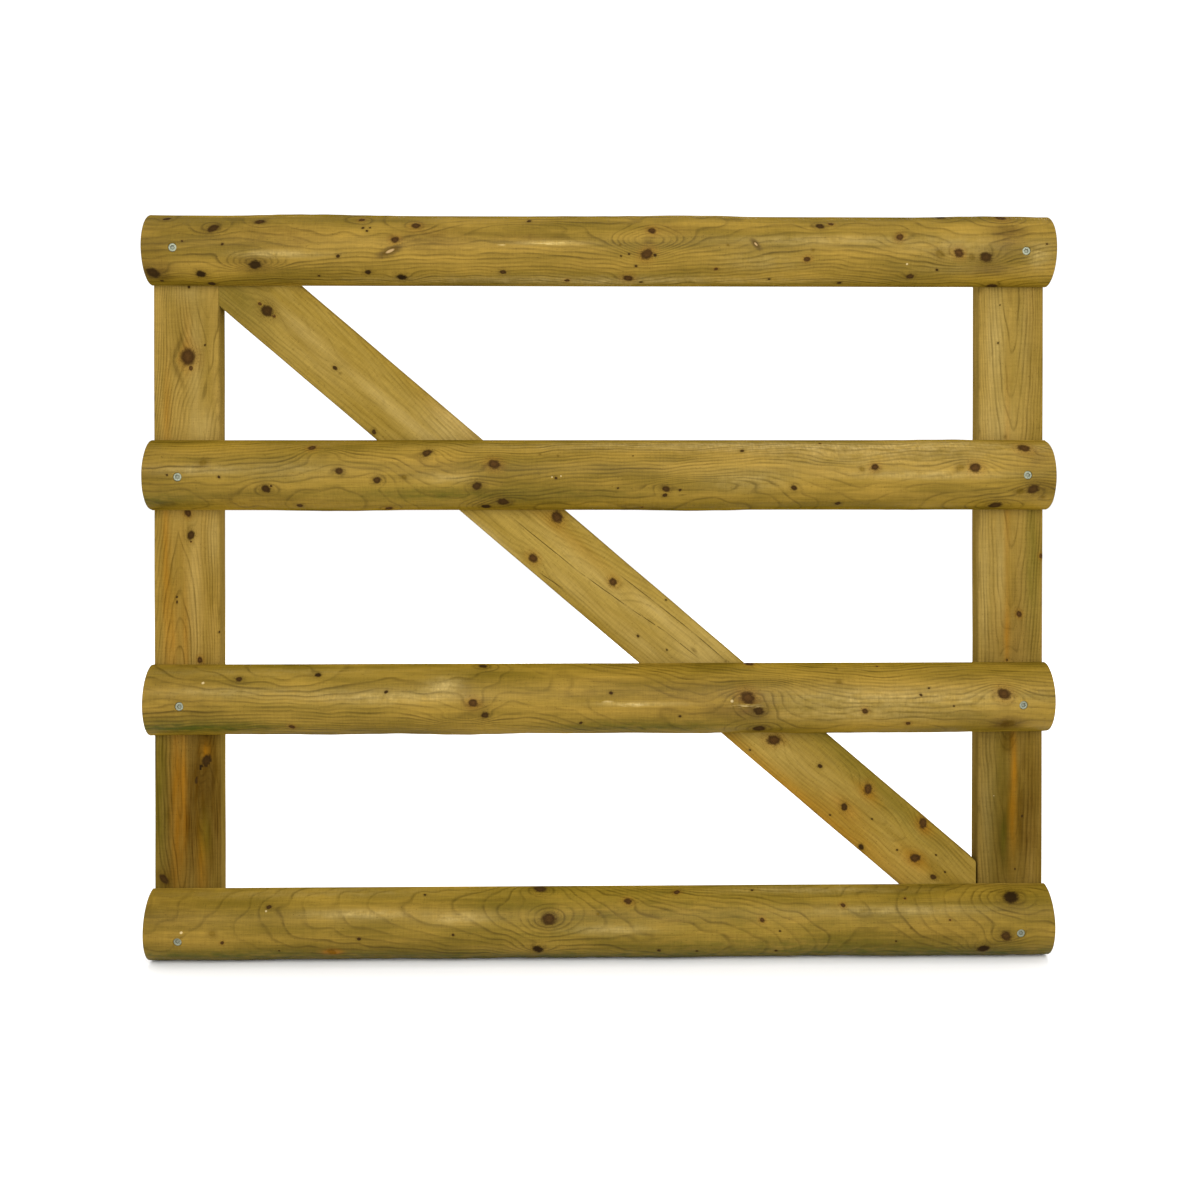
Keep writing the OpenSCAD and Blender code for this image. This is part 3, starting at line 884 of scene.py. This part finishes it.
# Noises of the wood as (sizes along, across and outwards, detail, roughness)
NOISES = {
    "fibre": (26, 0.7, 0.7, 3, 0.65),
    "band": (150, 3.5, 3.5, 3, 0.6),
    "tooth": (9, 1.0, 1.0, 2, 0.6),
    "drift": (80, 18, 18, 2, 0.5),
    "cloud": (170, 30, 30, 3, 0.55),
    "ripple": (2.0, 22, 22, 1, 0.5),
    "fade": (60, 9, 9, 2, 0.5),
    "rail_patch": (18, 7, 7, 3, 0.5),
    "board_patch": (45, 7, 7, 2, 0.5),
    "torn": (3.5, 7, 7, 2, 0.6),
    "pit": (3.2, 1.5, 1.5, 1, 0.5),
    "ragged": (2.4, 1.0, 1.0, 4, 0.65),
    "lump": (6, 4, 4, 2, 0.5),
    "mottle": (1.6, 1.1, 1.1, 2, 0.5),
    "speck": (2.6, 1.3, 1.3, 1, 0.5),
    "fleck": (13, 1.6, 1.6, 2, 0.5),
    "saw": (400, 0.8, 6, 3, 0.7),
}

# Colours as they look on screen, 0 to 255
# The pale wood's colour is partly painted light, and the green partly painted shade on the rails' lower
# edges
STAIN_AND_PAINTED_LIGHT_TONES = {"brown": (60, 38, 1), "green_and_lower_edge_shade": (62, 63, 9), "orange": (134, 88, 14), "pale_wood_and_painted_light": (152, 131, 77)}
BLACK_KNOT, BROWN_KNOT, RED_KNOT = (30, 21, 8), (62, 43, 18), (82, 55, 25)
KNOT_RIM, KNOT_MOTTLE, CREVICE = (34, 23, 8), (40, 26, 10), (46, 33, 9)
DARK_HALO, RED_HALO = (71, 52, 11), (104, 68, 14)
# The colour of the painted highlights, and that of the pale dots
PAINTED_HIGHLIGHT_TONE, DOT_TONE = (196, 174, 120), (186, 166, 122)
TORN_WOOD, BARE_WOOD = (60, 43, 15), (152, 126, 86)
DULL_ZINC, PALE_ZINC, GRIME = (104, 110, 92), (142, 145, 126), (44, 32, 16)

# Tints that multiply the wood's colour. The first is painted shade: less blue on a rail's lower flank.
UNDER_SHADE_TINT = (1, 0.99, 0.85, 1)
LATE_TINT = (0.24, 0.22, 0.16, 1)
PIT_TINT = (0.3, 0.26, 0.2, 1)

# What differs between the three timbers. A rail's flank tint is painted shade, darker and less blue on its
# round flanks.
LOOKS = {
    "rail_timber": {
        "pale": (129, 103, 38), "deep": (98, 79, 22), "end": (120, 94, 40), "painted_flank_shade": (0.97, 0.98, 0.76, 1),
        "line_share": 0.74, "streak": 0.12, "knot_rough": 0.7, "patch": "rail_patch",
    },
    "stile_timber": {
        "pale": (127, 103, 47), "deep": (108, 87, 33), "end": (124, 97, 44), "painted_flank_shade": None,
        "line_share": 0.62, "streak": 0.07, "knot_rough": 0.4, "patch": "board_patch",
    },
    "brace_timber": {
        "pale": (128, 106, 47), "deep": (113, 91, 32), "end": (124, 97, 44), "painted_flank_shade": None,
        "line_share": 0.37, "streak": 0.08, "knot_rough": 0.7, "patch": "board_patch",
    },
}

# Spans of a noise's values, and of what only runs from 0 to 1
NARROW, MIDDLE, WIDE, FULL = (0.35, 0.65), (0.3, 0.7), (0.25, 0.75), (0.2, 0.8)
UNIT, FALLING = (0, 1), (1, 0)

# Noises that shade the colour: the span of values that counts, and what it becomes
SHARES = {
    "fade": ((0.35, 0.6), (0.42, 1.15)),
    "rail_patch": (MIDDLE, (0.45, 1.26)),
    "board_patch": (MIDDLE, (0.675, 1.008)),
    "pit": ((0.68, 0.74), (0, 0.45)),
    "mottle": ((0.45, 0.65), (0, 0.45)),
    "speck": ((0.58, 0.66), (0, 0.5)),
    "fleck": ((0.42, 0.62), (0, 0.42)),
}

# What changes with the rings in a millimetre, from wood cut along its rings to wood cut across them
PACES = {
    "tooth": ((0.02, 0.16), (0.03, 0.24)),
    "drift": ((0.02, 0.16), (0.12, 0.45)),
    "line_width": ((0.03, 0.16), (0.22, 0.7)),
    "strength": ((0.02, 0.12), (0.72, 1.0)),
}

# A year's line of late wood from its sharp outer edge inwards, as (place, darkness)
LATE_RAMP = [(0.0, 0.0), (0.22, 0.75), (0.4, 1.0), (0.65, 0.5), (1.0, 0.0)]
LINE_WEIGHT, SEASON_WEIGHT = 0.88, 0.12
WEAK_LINE, END_LINE, END_RING_SHARE = 0.4, 0.62, 0.5
FIBRE_SHADES, RIPPLE_SHADES, TORN_DEPTH = (0.8, 1.14), (0.95, 1.05), 1.3

# Marks: how uneven their edges are, where each part of them ends, both in radii, and how strong it is.
# A knot's rim is (place in the knot's diameters, darkness).
TEETH, LUMPS, CRACK_TEETH = 0.26, 0.24, (-0.3, 0.4)
CORE_EDGE, HALO_EDGE, HIGHLIGHT_EDGE = (0.64, 1.24), (0.7, 2.7), (0.1, 1.2)
DOT_EDGE, BARE_EDGE, CRACK_EDGE = (0.5, 1.2), (0.35, 0.7), (0.4, 1.1)
RIM_RAMP = [(0.1, 0.0), (0.36, 1.0), (0.5, 0.8), (0.62, 0.0)]
RIM_SHARES, HALO_SHARES = (0.25, 0.85), (0.36, 0.96)
FAINT_CORE, HALO_WEIGHT, RED_SHARE = 0.2, 0.5, 0.5
DOT_SHARE, CHIP_SHARE, CRACK_SHARE = 0.62, 0.8, 0.8

# The surface: gloss on the rails' crests, the sawn ends, and weights in the bump's height
CREST_GLOSS, KNOT_DULLS = 0.06, -0.9
END_SHARE, END_ROUGHNESS, WOOD_ROUGHNESS = 0.6, 0.25, (0.52, 0.38)
FIBRE_HEIGHT, LATE_HEIGHT, RIPPLE_HEIGHT = 0.8, 0.3, 0.35
KNOT_HEIGHT, CRACK_HEIGHT, SAW_HEIGHT = 0.9, -2.0, 2.0
WOOD_BUMP, WOOD_BUMP_SHARE = 0.35, 0.6

ZINC_CLOUD = (2.2, 2.2, 2.2)
ZINC_SCRATCH = (4, 1, 0.25)
ZINC_BUMP, ZINC_BUMP_SHARE = 0.06, 0.5


def linear(tone):
    """A colour as it looks on screen, in the renderer's own units."""
    return tuple(((c / 255 + 0.055) / 1.055) ** 2.4 for c in tone) + (1.0,)


class Graph:
    """Short names for the nodes of one material."""

    def __init__(self, name):
        self.material = bpy.data.materials.new(name)
        self.material.use_nodes = True
        self.nodes = self.material.node_tree.nodes
        self.links = self.material.node_tree.links
        self.shader = self.nodes["Principled BSDF"]

    def plug(self, socket, value):
        if isinstance(value, bpy.types.NodeSocket):
            self.links.new(value, socket)
        else:
            socket.default_value = value

    def make(self, kind, inputs, **settings):
        """The outputs of a new node with these settings, and with inputs given by name or number."""
        node = self.nodes.new("ShaderNode" + kind)
        for name, value in settings.items():
            setattr(node, name, value)
        for socket, value in inputs.items():
            self.plug(node.inputs[socket], value)
        return node.outputs

    def surface(self, inputs):
        for name, value in inputs.items():
            self.plug(self.shader.inputs[name], value)
        return self.material

    def attribute(self, name, output="Fac"):
        return self.make("Attribute", {}, attribute_name=name)[output]

    def math(self, operation, *values):
        return self.make("Math", dict(enumerate(values)), operation=operation)[0]

    def times(self, product, *factors):
        for factor in factors:
            product = self.math("MULTIPLY", product, factor)
        return product

    def weighted(self, parts, total=0.0):
        """The total with (value, weight) pairs added to it."""
        for value, weight in parts:
            total = self.math("MULTIPLY_ADD", value, weight, total)
        return total

    def noise(self, vector, sizes, detail, roughness):
        counted = self.make("VectorMath", {0: vector, 1: sizes}, operation="DIVIDE")[0]
        inputs = {"Vector": counted, "Scale": 1.0, "Detail": detail, "Roughness": roughness}
        return self.make("TexNoise", inputs)["Fac"]

    def grain(self, name):
        *sizes, detail, roughness = NOISES[name]
        return self.noise(self.attribute("grain", "Vector"), sizes, detail, roughness)

    def rescale(self, value, span, to=UNIT, smooth=False):
        curve = "SMOOTHSTEP" if smooth else "LINEAR"
        return self.make("MapRange", dict(enumerate((value, *span, *to))), interpolation_type=curve)[0]

    def share(self, name):
        return self.rescale(self.grain(name), *SHARES[name])

    def ramp(self, value, stops):
        node = self.nodes.new("ShaderNodeValToRGB")
        elements = node.color_ramp.elements
        while len(elements) < len(stops):
            elements.new(0.5)
        for element, (position, level) in zip(elements, stops):
            element.position = position
            element.color = (level, level, level, 1)
        self.plug(node.inputs[0], value)
        return node.outputs[0]

    def mix(self, share, first, second, blend="MIX"):
        inputs = {0: share, 6: first, 7: second}
        return self.make("Mix", inputs, data_type="RGBA", blend_type=blend)[2]

    def parts(self, vector):
        return list(self.make("SeparateXYZ", {0: vector}))

    def bump(self, height, distance, strength):
        return self.make("Bump", {"Strength": strength, "Distance": distance, "Height": height})[0]


def growth_lines(g, end, line_share):
    """Late wood at the end of each year's ring: its height, and its share in the colour."""
    pace = g.attribute("pace")
    by_pace = {name: g.rescale(pace, *spans) for name, spans in PACES.items()}
    shifts = [(g.grain(name), by_pace[name]) for name in ("tooth", "drift")]
    age = g.weighted(shifts, g.attribute("ring"))
    age = g.times(age, g.rescale(end, UNIT, (1, END_RING_SHARE)))
    season = g.math("FRACT", age)
    before = g.math("SUBTRACT", 1.0, season)
    line = g.ramp(g.math("DIVIDE", before, by_pace["line_width"]), LATE_RAMP)
    late = g.weighted([(line, LINE_WEIGHT), (season, SEASON_WEIGHT)])
    year = g.make("TexWhiteNoise", {"W": g.math("FLOOR", age)}, noise_dimensions="1D")["Value"]
    strength = g.times(g.rescale(year, UNIT, (WEAK_LINE * line_share, line_share)), by_pace["strength"])
    share = g.times(late, strength, g.share("fade"))
    return late, g.math("MAXIMUM", share, g.times(late, end, END_LINE))


def wood_with_stains_and_painted_light(g, look, stains_and_light):
    """The wood's broad tones, with painted shade on a rail's flanks, the stains, and the pale wood that is
    partly painted light.
    """
    clouds = g.rescale(g.grain("cloud"), MIDDLE, smooth=True)
    colour = g.mix(clouds, linear(look["pale"]), linear(look["deep"]))
    if look["painted_flank_shade"]:
        # Painted shade on a rail's flanks, with less blue again on the lower flank
        colour = g.mix(g.attribute("painted_flank_shade"), colour, look["painted_flank_shade"], "MULTIPLY")
        colour = g.mix(g.attribute("painted_under_shade"), colour, UNDER_SHADE_TINT, "MULTIPLY")
    patchy = g.share(look["patch"])
    # Stains, with painted light in the pale wood and painted shade in the green along the rails' lower
    # edges
    for stain_and_light, amount in zip(STAINS_AND_PAINTED_LIGHT, stains_and_light):
        colour = g.mix(g.times(amount, patchy), colour, linear(STAIN_AND_PAINTED_LIGHT_TONES[stain_and_light]))
    return colour


def fibre_shade(g, look, fibre, ripple, pale_wood_and_painted_light):
    """How far fibres, streaks, planing ripples and a rail's torn stretches in its pale, partly
    painted-light wood shade the wood.
    """
    streaks = g.rescale(g.grain("band"), MIDDLE, (1 - look["streak"], 1 + look["streak"]))
    shade = g.times(g.rescale(fibre, WIDE, FIBRE_SHADES), streaks, g.rescale(ripple, MIDDLE, RIPPLE_SHADES))
    if look["painted_flank_shade"]:
        torn = g.math("SUBTRACT", g.grain("torn"), 0.5)
        shade = g.times(shade, g.weighted([(torn, g.times(pale_wood_and_painted_light, TORN_DEPTH))], 1.0))
    return shade


class MarkFields:
    """What the material reads of the nearest mark: its kind, its tone and how near it is."""

    def __init__(self, g, rough):
        long, wide, kind = g.parts(g.attribute("mark", "Vector"))
        half = KIND_SPREAD / 2
        self.kinds = [g.math("COMPARE", kind, k + half, half + KIND_MARGIN) for k in KINDS]
        self.solid = g.math("ADD", self.kinds[DARK], self.kinds[RED])
        self.tone = g.math("DIVIDE", g.math("FRACT", kind), KIND_SPREAD)
        self.ragged = g.grain("ragged")
        self.long = g.math("ABSOLUTE", long)
        self.wide = g.math("ABSOLUTE", wide)
        self.smooth_away = g.math("SQRT", g.weighted([(long, long), (wide, wide)]))
        teeth = g.rescale(self.ragged, FULL, (-TEETH * rough, TEETH * rough))
        lumps = g.rescale(g.grain("lump"), WIDE, (-LUMPS * rough, LUMPS * rough))
        self.away = g.math("ADD", g.math("ADD", self.smooth_away, teeth), lumps)
        self.core = g.rescale(self.away, CORE_EDGE, FALLING, smooth=True)
        self.halo = g.rescale(self.away, HALO_EDGE, FALLING, smooth=True)


def add_knots(g, colour, marks):
    """Halos, specks and knot wood. A faint knot has a halo and little else."""
    red, faint = marks.kinds[RED], marks.kinds[FAINT]
    wood = g.mix(marks.tone, linear(BLACK_KNOT), linear(BROWN_KNOT))
    wood = g.mix(g.times(red, RED_SHARE), wood, linear(RED_KNOT))
    rim = g.ramp(g.times(marks.away, 0.5), RIM_RAMP)
    wood = g.mix(g.times(rim, g.rescale(marks.ragged, NARROW, RIM_SHARES)), wood, linear(KNOT_RIM))
    wood = g.mix(g.share("mottle"), wood, linear(KNOT_MOTTLE))
    halo_weight = g.times(g.math("ADD", faint, marks.solid), HALO_WEIGHT)
    halo_share = g.times(marks.halo, halo_weight, g.rescale(marks.ragged, MIDDLE, HALO_SHARES))
    colour = g.mix(halo_share, colour, g.mix(red, linear(DARK_HALO), linear(RED_HALO)))
    colour = g.mix(g.times(g.share("speck"), marks.halo, marks.solid), colour, linear(CREVICE))
    core_weight = g.weighted([(faint, FAINT_CORE)], marks.solid)
    return g.mix(g.times(marks.core, core_weight), colour, wood)


def add_painted_highlights_and_dots(g, colour, marks):
    """Painted highlights as flecked pale streaks along the rails' crests, and pale dots."""
    streak = g.rescale(marks.smooth_away, HIGHLIGHT_EDGE, FALLING, smooth=True)
    # Painted highlight streaks
    colour = g.mix(g.times(streak, marks.kinds[PAINTED_HIGHLIGHT], g.share("fleck")), colour, linear(PAINTED_HIGHLIGHT_TONE))
    dot = g.rescale(marks.away, DOT_EDGE, (DOT_SHARE, 0), smooth=True)
    return g.mix(g.times(dot, marks.kinds[DOT]), colour, linear(DOT_TONE))


def add_chips(g, colour, marks):
    """Chips: bare wood with a torn dark edge."""
    chip = g.times(marks.kinds[CHIP], CHIP_SHARE)
    colour = g.mix(g.times(marks.halo, chip), colour, linear(TORN_WOOD))
    bare = g.rescale(marks.smooth_away, BARE_EDGE, FALLING, smooth=True)
    return g.mix(g.times(bare, chip), colour, linear(BARE_WOOD))


def open_crack(g, marks):
    """Where a crack is open, with uneven edges."""
    uneven = g.math("ADD", marks.wide, g.rescale(marks.ragged, FULL, CRACK_TEETH))
    gap = g.rescale(g.math("MAXIMUM", marks.long, uneven), CRACK_EDGE, FALLING)
    return g.times(gap, marks.kinds[CRACK])


def crest_gloss(g, marks):
    """A rail's crest shines a little, and its knots less."""
    polish = g.times(g.attribute("crest"), g.weighted([(marks.core, KNOT_DULLS)], 1.0))
    return g.rescale(polish, UNIT, (0, CREST_GLOSS))


def timber_material(name, look):
    """Treated softwood: growth rings, fibres, knots, chips and stains from the mesh's own fields."""
    g = Graph(name)
    end = g.attribute("end")
    fibre, ripple, saw = (g.grain(noise) for noise in ("fibre", "ripple", "saw"))
    stains_and_light = g.parts(g.attribute("stain_and_light", "Vector")) + [g.attribute("stain_and_light", "Alpha")]
    marks = MarkFields(g, look["knot_rough"])
    late, late_share = growth_lines(g, end, look["line_share"])
    crack = open_crack(g, marks)

    colour = g.mix(late_share, wood_with_stains_and_painted_light(g, look, stains_and_light), LATE_TINT, "MULTIPLY")
    colour = g.mix(g.share("pit"), colour, PIT_TINT, "MULTIPLY")
    colour = add_knots(g, colour, marks)
    colour = add_painted_highlights_and_dots(g, colour, marks)
    colour = add_chips(g, colour, marks)
    colour = g.mix(g.times(crack, CRACK_SHARE), colour, linear(CREVICE))
    sawn = g.mix(g.rescale(saw, MIDDLE), colour, linear(look["end"]))
    colour = g.mix(g.times(end, END_SHARE), colour, sawn)
    shade = fibre_shade(g, look, fibre, ripple, stains_and_light[-1])
    heights = [
        (fibre, FIBRE_HEIGHT),
        (late, LATE_HEIGHT),
        (ripple, RIPPLE_HEIGHT),
        (g.times(marks.ragged, marks.core), KNOT_HEIGHT),
        (crack, CRACK_HEIGHT),
        (g.times(saw, end), SAW_HEIGHT),
    ]
    return g.surface(
        {
            "Base Color": g.make("VectorMath", {0: colour, "Scale": shade}, operation="SCALE")[0],
            "Roughness": g.weighted([(end, END_ROUGHNESS)], g.rescale(fibre, FULL, WOOD_ROUGHNESS)),
            "Specular IOR Level": crest_gloss(g, marks) if look["painted_flank_shade"] else 0.0,
            "Normal": g.bump(g.weighted(heights), WOOD_BUMP * MM, WOOD_BUMP_SHARE),
        }
    )


def zinc_material():
    """Dull zinc plate: cloudy, with fine scratches and grime in the recess and round the rim."""
    g = Graph("zinc_plate")
    place = g.make("TexCoord", {})["Object"]
    cloud = g.noise(place, [size * MM for size in ZINC_CLOUD], 3, 0.6)
    scratch = g.noise(place, [size * MM for size in ZINC_SCRATCH], 2, 0.6)
    colour = g.mix(g.rescale(cloud, NARROW), linear(DULL_ZINC), linear(PALE_ZINC))
    grime = g.times(g.attribute("grime"), g.rescale(cloud, MIDDLE, (0.75, 1.0)))
    return g.surface(
        {
            "Base Color": g.mix(grime, colour, linear(GRIME)),
            "Metallic": g.rescale(grime, UNIT, (0.7, 0)),
            "Roughness": g.rescale(cloud, MIDDLE, (0.4, 0.6)),
            "Normal": g.bump(scratch, ZINC_BUMP * MM, ZINC_BUMP_SHARE),
        }
    )


# The gate's pieces

RAILS = ("bottom_rail", "lower_middle_rail", "upper_middle_rail", "top_rail")
STILES = ("closing_stile", "hanging_stile")
SIDES = ("closing", "hanging")
LEVELS = ("lower", "upper")


def make_rail(name):
    box = box_mm(name)
    size = box[1] - box[0]
    loop = half_round(size[2] + 2 * SWELL, size[1] + SWELL)
    rail = Timber(name, middle_at(box, JOINT_Y), (1, 0, 0), size[0] + 2 * SWELL, loop)
    for side in SIDES:
        rail.add_screw(f"{name}_{side}_screw")
    return rail


def make_stile(name):
    box = box_mm(name)
    size = box[1] - box[0]
    loop = planed(size[0] + 2 * SWELL, size[1])
    return Timber(name, middle_at(box, JOINT_Y), (0, 0, 1), size[2], loop)


def make_brace(name):
    box = box_mm(name)
    run, thickness, drop = box[1] - box[0]
    angle = math.acos(BRACE_WIDTH / math.hypot(run, drop)) - math.atan2(run, drop)
    along = (math.cos(angle), 0, -math.sin(angle))
    loop = planed(BRACE_WIDTH + 2 * SWELL, thickness)
    brace = Timber(name, middle_at(box, JOINT_Y), along, run / math.cos(angle), loop, math.tan(angle))
    for rail in RAILS:
        for level in LEVELS:
            brace.add_screw(f"{rail}_brace_screw_{level}")
    return brace


def make_timbers():
    woods = {name: timber_material(name, look) for name, look in LOOKS.items()}
    timbers = [make_rail(name) for name in RAILS] + [make_stile(name) for name in STILES]
    for timber in timbers + [make_brace("diagonal_brace")]:
        slot = timber.kind + "_timber"
        timber_object(timber, woods[slot])


# A screw's head from its recess outwards, as rings (share of its radius, share of the lobes, depth, grime)
HEAD_RINGS = [
    (0.216, 0.5, 2.4, 0.3), (0.432, 1, 2.1, 0.45), (0.48, 1, 0.35, 0.4), (0.5376, 1, 0.05, 0.2),
    (0.72, 0, 0, 0), (0.9, 0, 0.06, 0.1), (0.98, 0, 0.25, 0.55), (1, 0, 0.5, 0.9),
]
SCREW_SIDES = 48
LOBES, LOBE_SHARE = 6, 0.07
NECK_DROP, NECK_GRIME = 0.5, 0.6
THREAD_PITCH, THREAD_CUT, THREAD_GRIME = 2.6, 0.72, 0.2
POINT_SHARE, TIP_SHARE = 2.5, 0.12


def screw_rings(head_r, length):
    """A countersunk wood screw from recess to point, as rings (radius, lobe height, depth, grime)."""
    lobe = LOBE_SHARE * head_r
    shank = head_r / 2
    neck = head_r - shank + NECK_DROP
    rings = [(share * head_r, lobes * lobe, depth, dirt) for share, lobes, depth, dirt in HEAD_RINGS]
    rings.append((shank, 0, neck, NECK_GRIME))
    turns = int((length - POINT_SHARE * shank - neck) / THREAD_PITCH)
    for k in range(turns):
        rings.append((shank * THREAD_CUT, 0, neck + (k + 0.5) * THREAD_PITCH, THREAD_GRIME))
        rings.append((shank, 0, neck + (k + 1) * THREAD_PITCH, THREAD_GRIME))
    rings.append((TIP_SHARE * shank, 0, length, THREAD_GRIME))
    return rings


def screw_object(node, material):
    box = box_mm(node)
    from_front = "brace" not in node
    head_y = box[0][1] - SWELL / 2 if from_front else box[1][1]
    inward = 1 if from_front else -1
    size = box[1] - box[0]
    rings = screw_rings(size[0] / 2, size[1])
    turn = np.random.default_rng(sum(map(ord, node))).uniform(0, math.pi)
    angle = np.linspace(0, 2 * math.pi, SCREW_SIDES, endpoint=False) * inward
    points = []
    grime = []
    for radius, lobe, depth, dirt in rings:
        reach = radius + lobe * np.cos(LOBES * (angle - turn))
        y = np.full(SCREW_SIDES, inward * depth)
        points.append(np.stack((reach * np.cos(angle), y, reach * np.sin(angle)), 1))
        grime += [dirt] * SCREW_SIDES
    place = (middle_at(box, head_y) + np.concatenate(points)) * MM
    ids = np.arange(len(place)).reshape(len(rings), SCREW_SIDES)
    caps = [ids[0].tolist(), ids[-1][::-1].tolist()]
    mesh = bpy.data.meshes.new(node + "_zinc")
    mesh.from_pydata(place.tolist(), [], grid_quads(ids).tolist() + caps)
    add_field(mesh, "grime", "FLOAT", "POINT", np.array(grime))
    dress(node, mesh, material)


def make_screws():
    zinc = zinc_material()
    for name in RAILS:
        for side in SIDES:
            screw_object(f"{name}_{side}_screw", zinc)
        for level in LEVELS:
            screw_object(f"{name}_brace_screw_{level}", zinc)


# The stage

FLOOR_HALF = 14000
FLOOR_DROP = 1.6
PAPER_GREY = 0.86
PAPER_ROUGHNESS = 0.9
PAPER_GLOSS = 0.1
WORLD_STRENGTH = 1.2
LAMP_SIZE = (3400, 1800)
KEY_PLACE, KEY_POWER = (100, -2900, 1900), 117
FILL_PLACE, FILL_POWER = (500, 3200, 2000), 105


def make_stage():
    half = FLOOR_HALF * MM
    corners = [(-half, -half), (half, -half), (half, half), (-half, half)]
    mesh = bpy.data.meshes.new("floor")
    mesh.from_pydata([(x, y, -FLOOR_DROP * MM) for x, y in corners], [], [(0, 1, 2, 3)])
    floor = bpy.data.objects.new("floor", mesh)
    bpy.context.scene.collection.objects.link(floor)
    grey = (PAPER_GREY, PAPER_GREY, PAPER_GREY, 1)
    paper = {"Base Color": grey, "Roughness": PAPER_ROUGHNESS, "Specular IOR Level": PAPER_GLOSS}
    mesh.materials.append(Graph("floor_paper").surface(paper))


def make_lamp(name, place, power):
    """A soft rectangular lamp that faces the middle of the gate."""
    data = bpy.data.lights.new(name, "AREA")
    data.shape = "RECTANGLE"
    data.size, data.size_y = (side * MM for side in LAMP_SIZE)
    data.energy = power
    lamp = bpy.data.objects.new(name, data)
    aim = Vector((0, 0, GATE_HEIGHT / 2)) - Vector(place)
    lamp.location = Vector(place) * MM
    lamp.rotation_euler = aim.to_track_quat("-Z", "Y").to_euler()
    bpy.context.scene.collection.objects.link(lamp)


def make_light():
    world = bpy.data.worlds.new("studio")
    world.use_nodes = True
    backdrop = world.node_tree.nodes["Background"].inputs
    backdrop["Color"].default_value = (1, 1, 1, 1)
    backdrop["Strength"].default_value = WORLD_STRENGTH
    bpy.context.scene.world = world
    make_lamp("key", KEY_PLACE, KEY_POWER)
    make_lamp("fill", FILL_PLACE, FILL_POWER)
    bpy.context.scene.view_settings.view_transform = "Standard"
    bpy.context.scene.view_settings.look = "None"


make_camera()
make_timbers()
make_screws()
make_stage()
make_light()
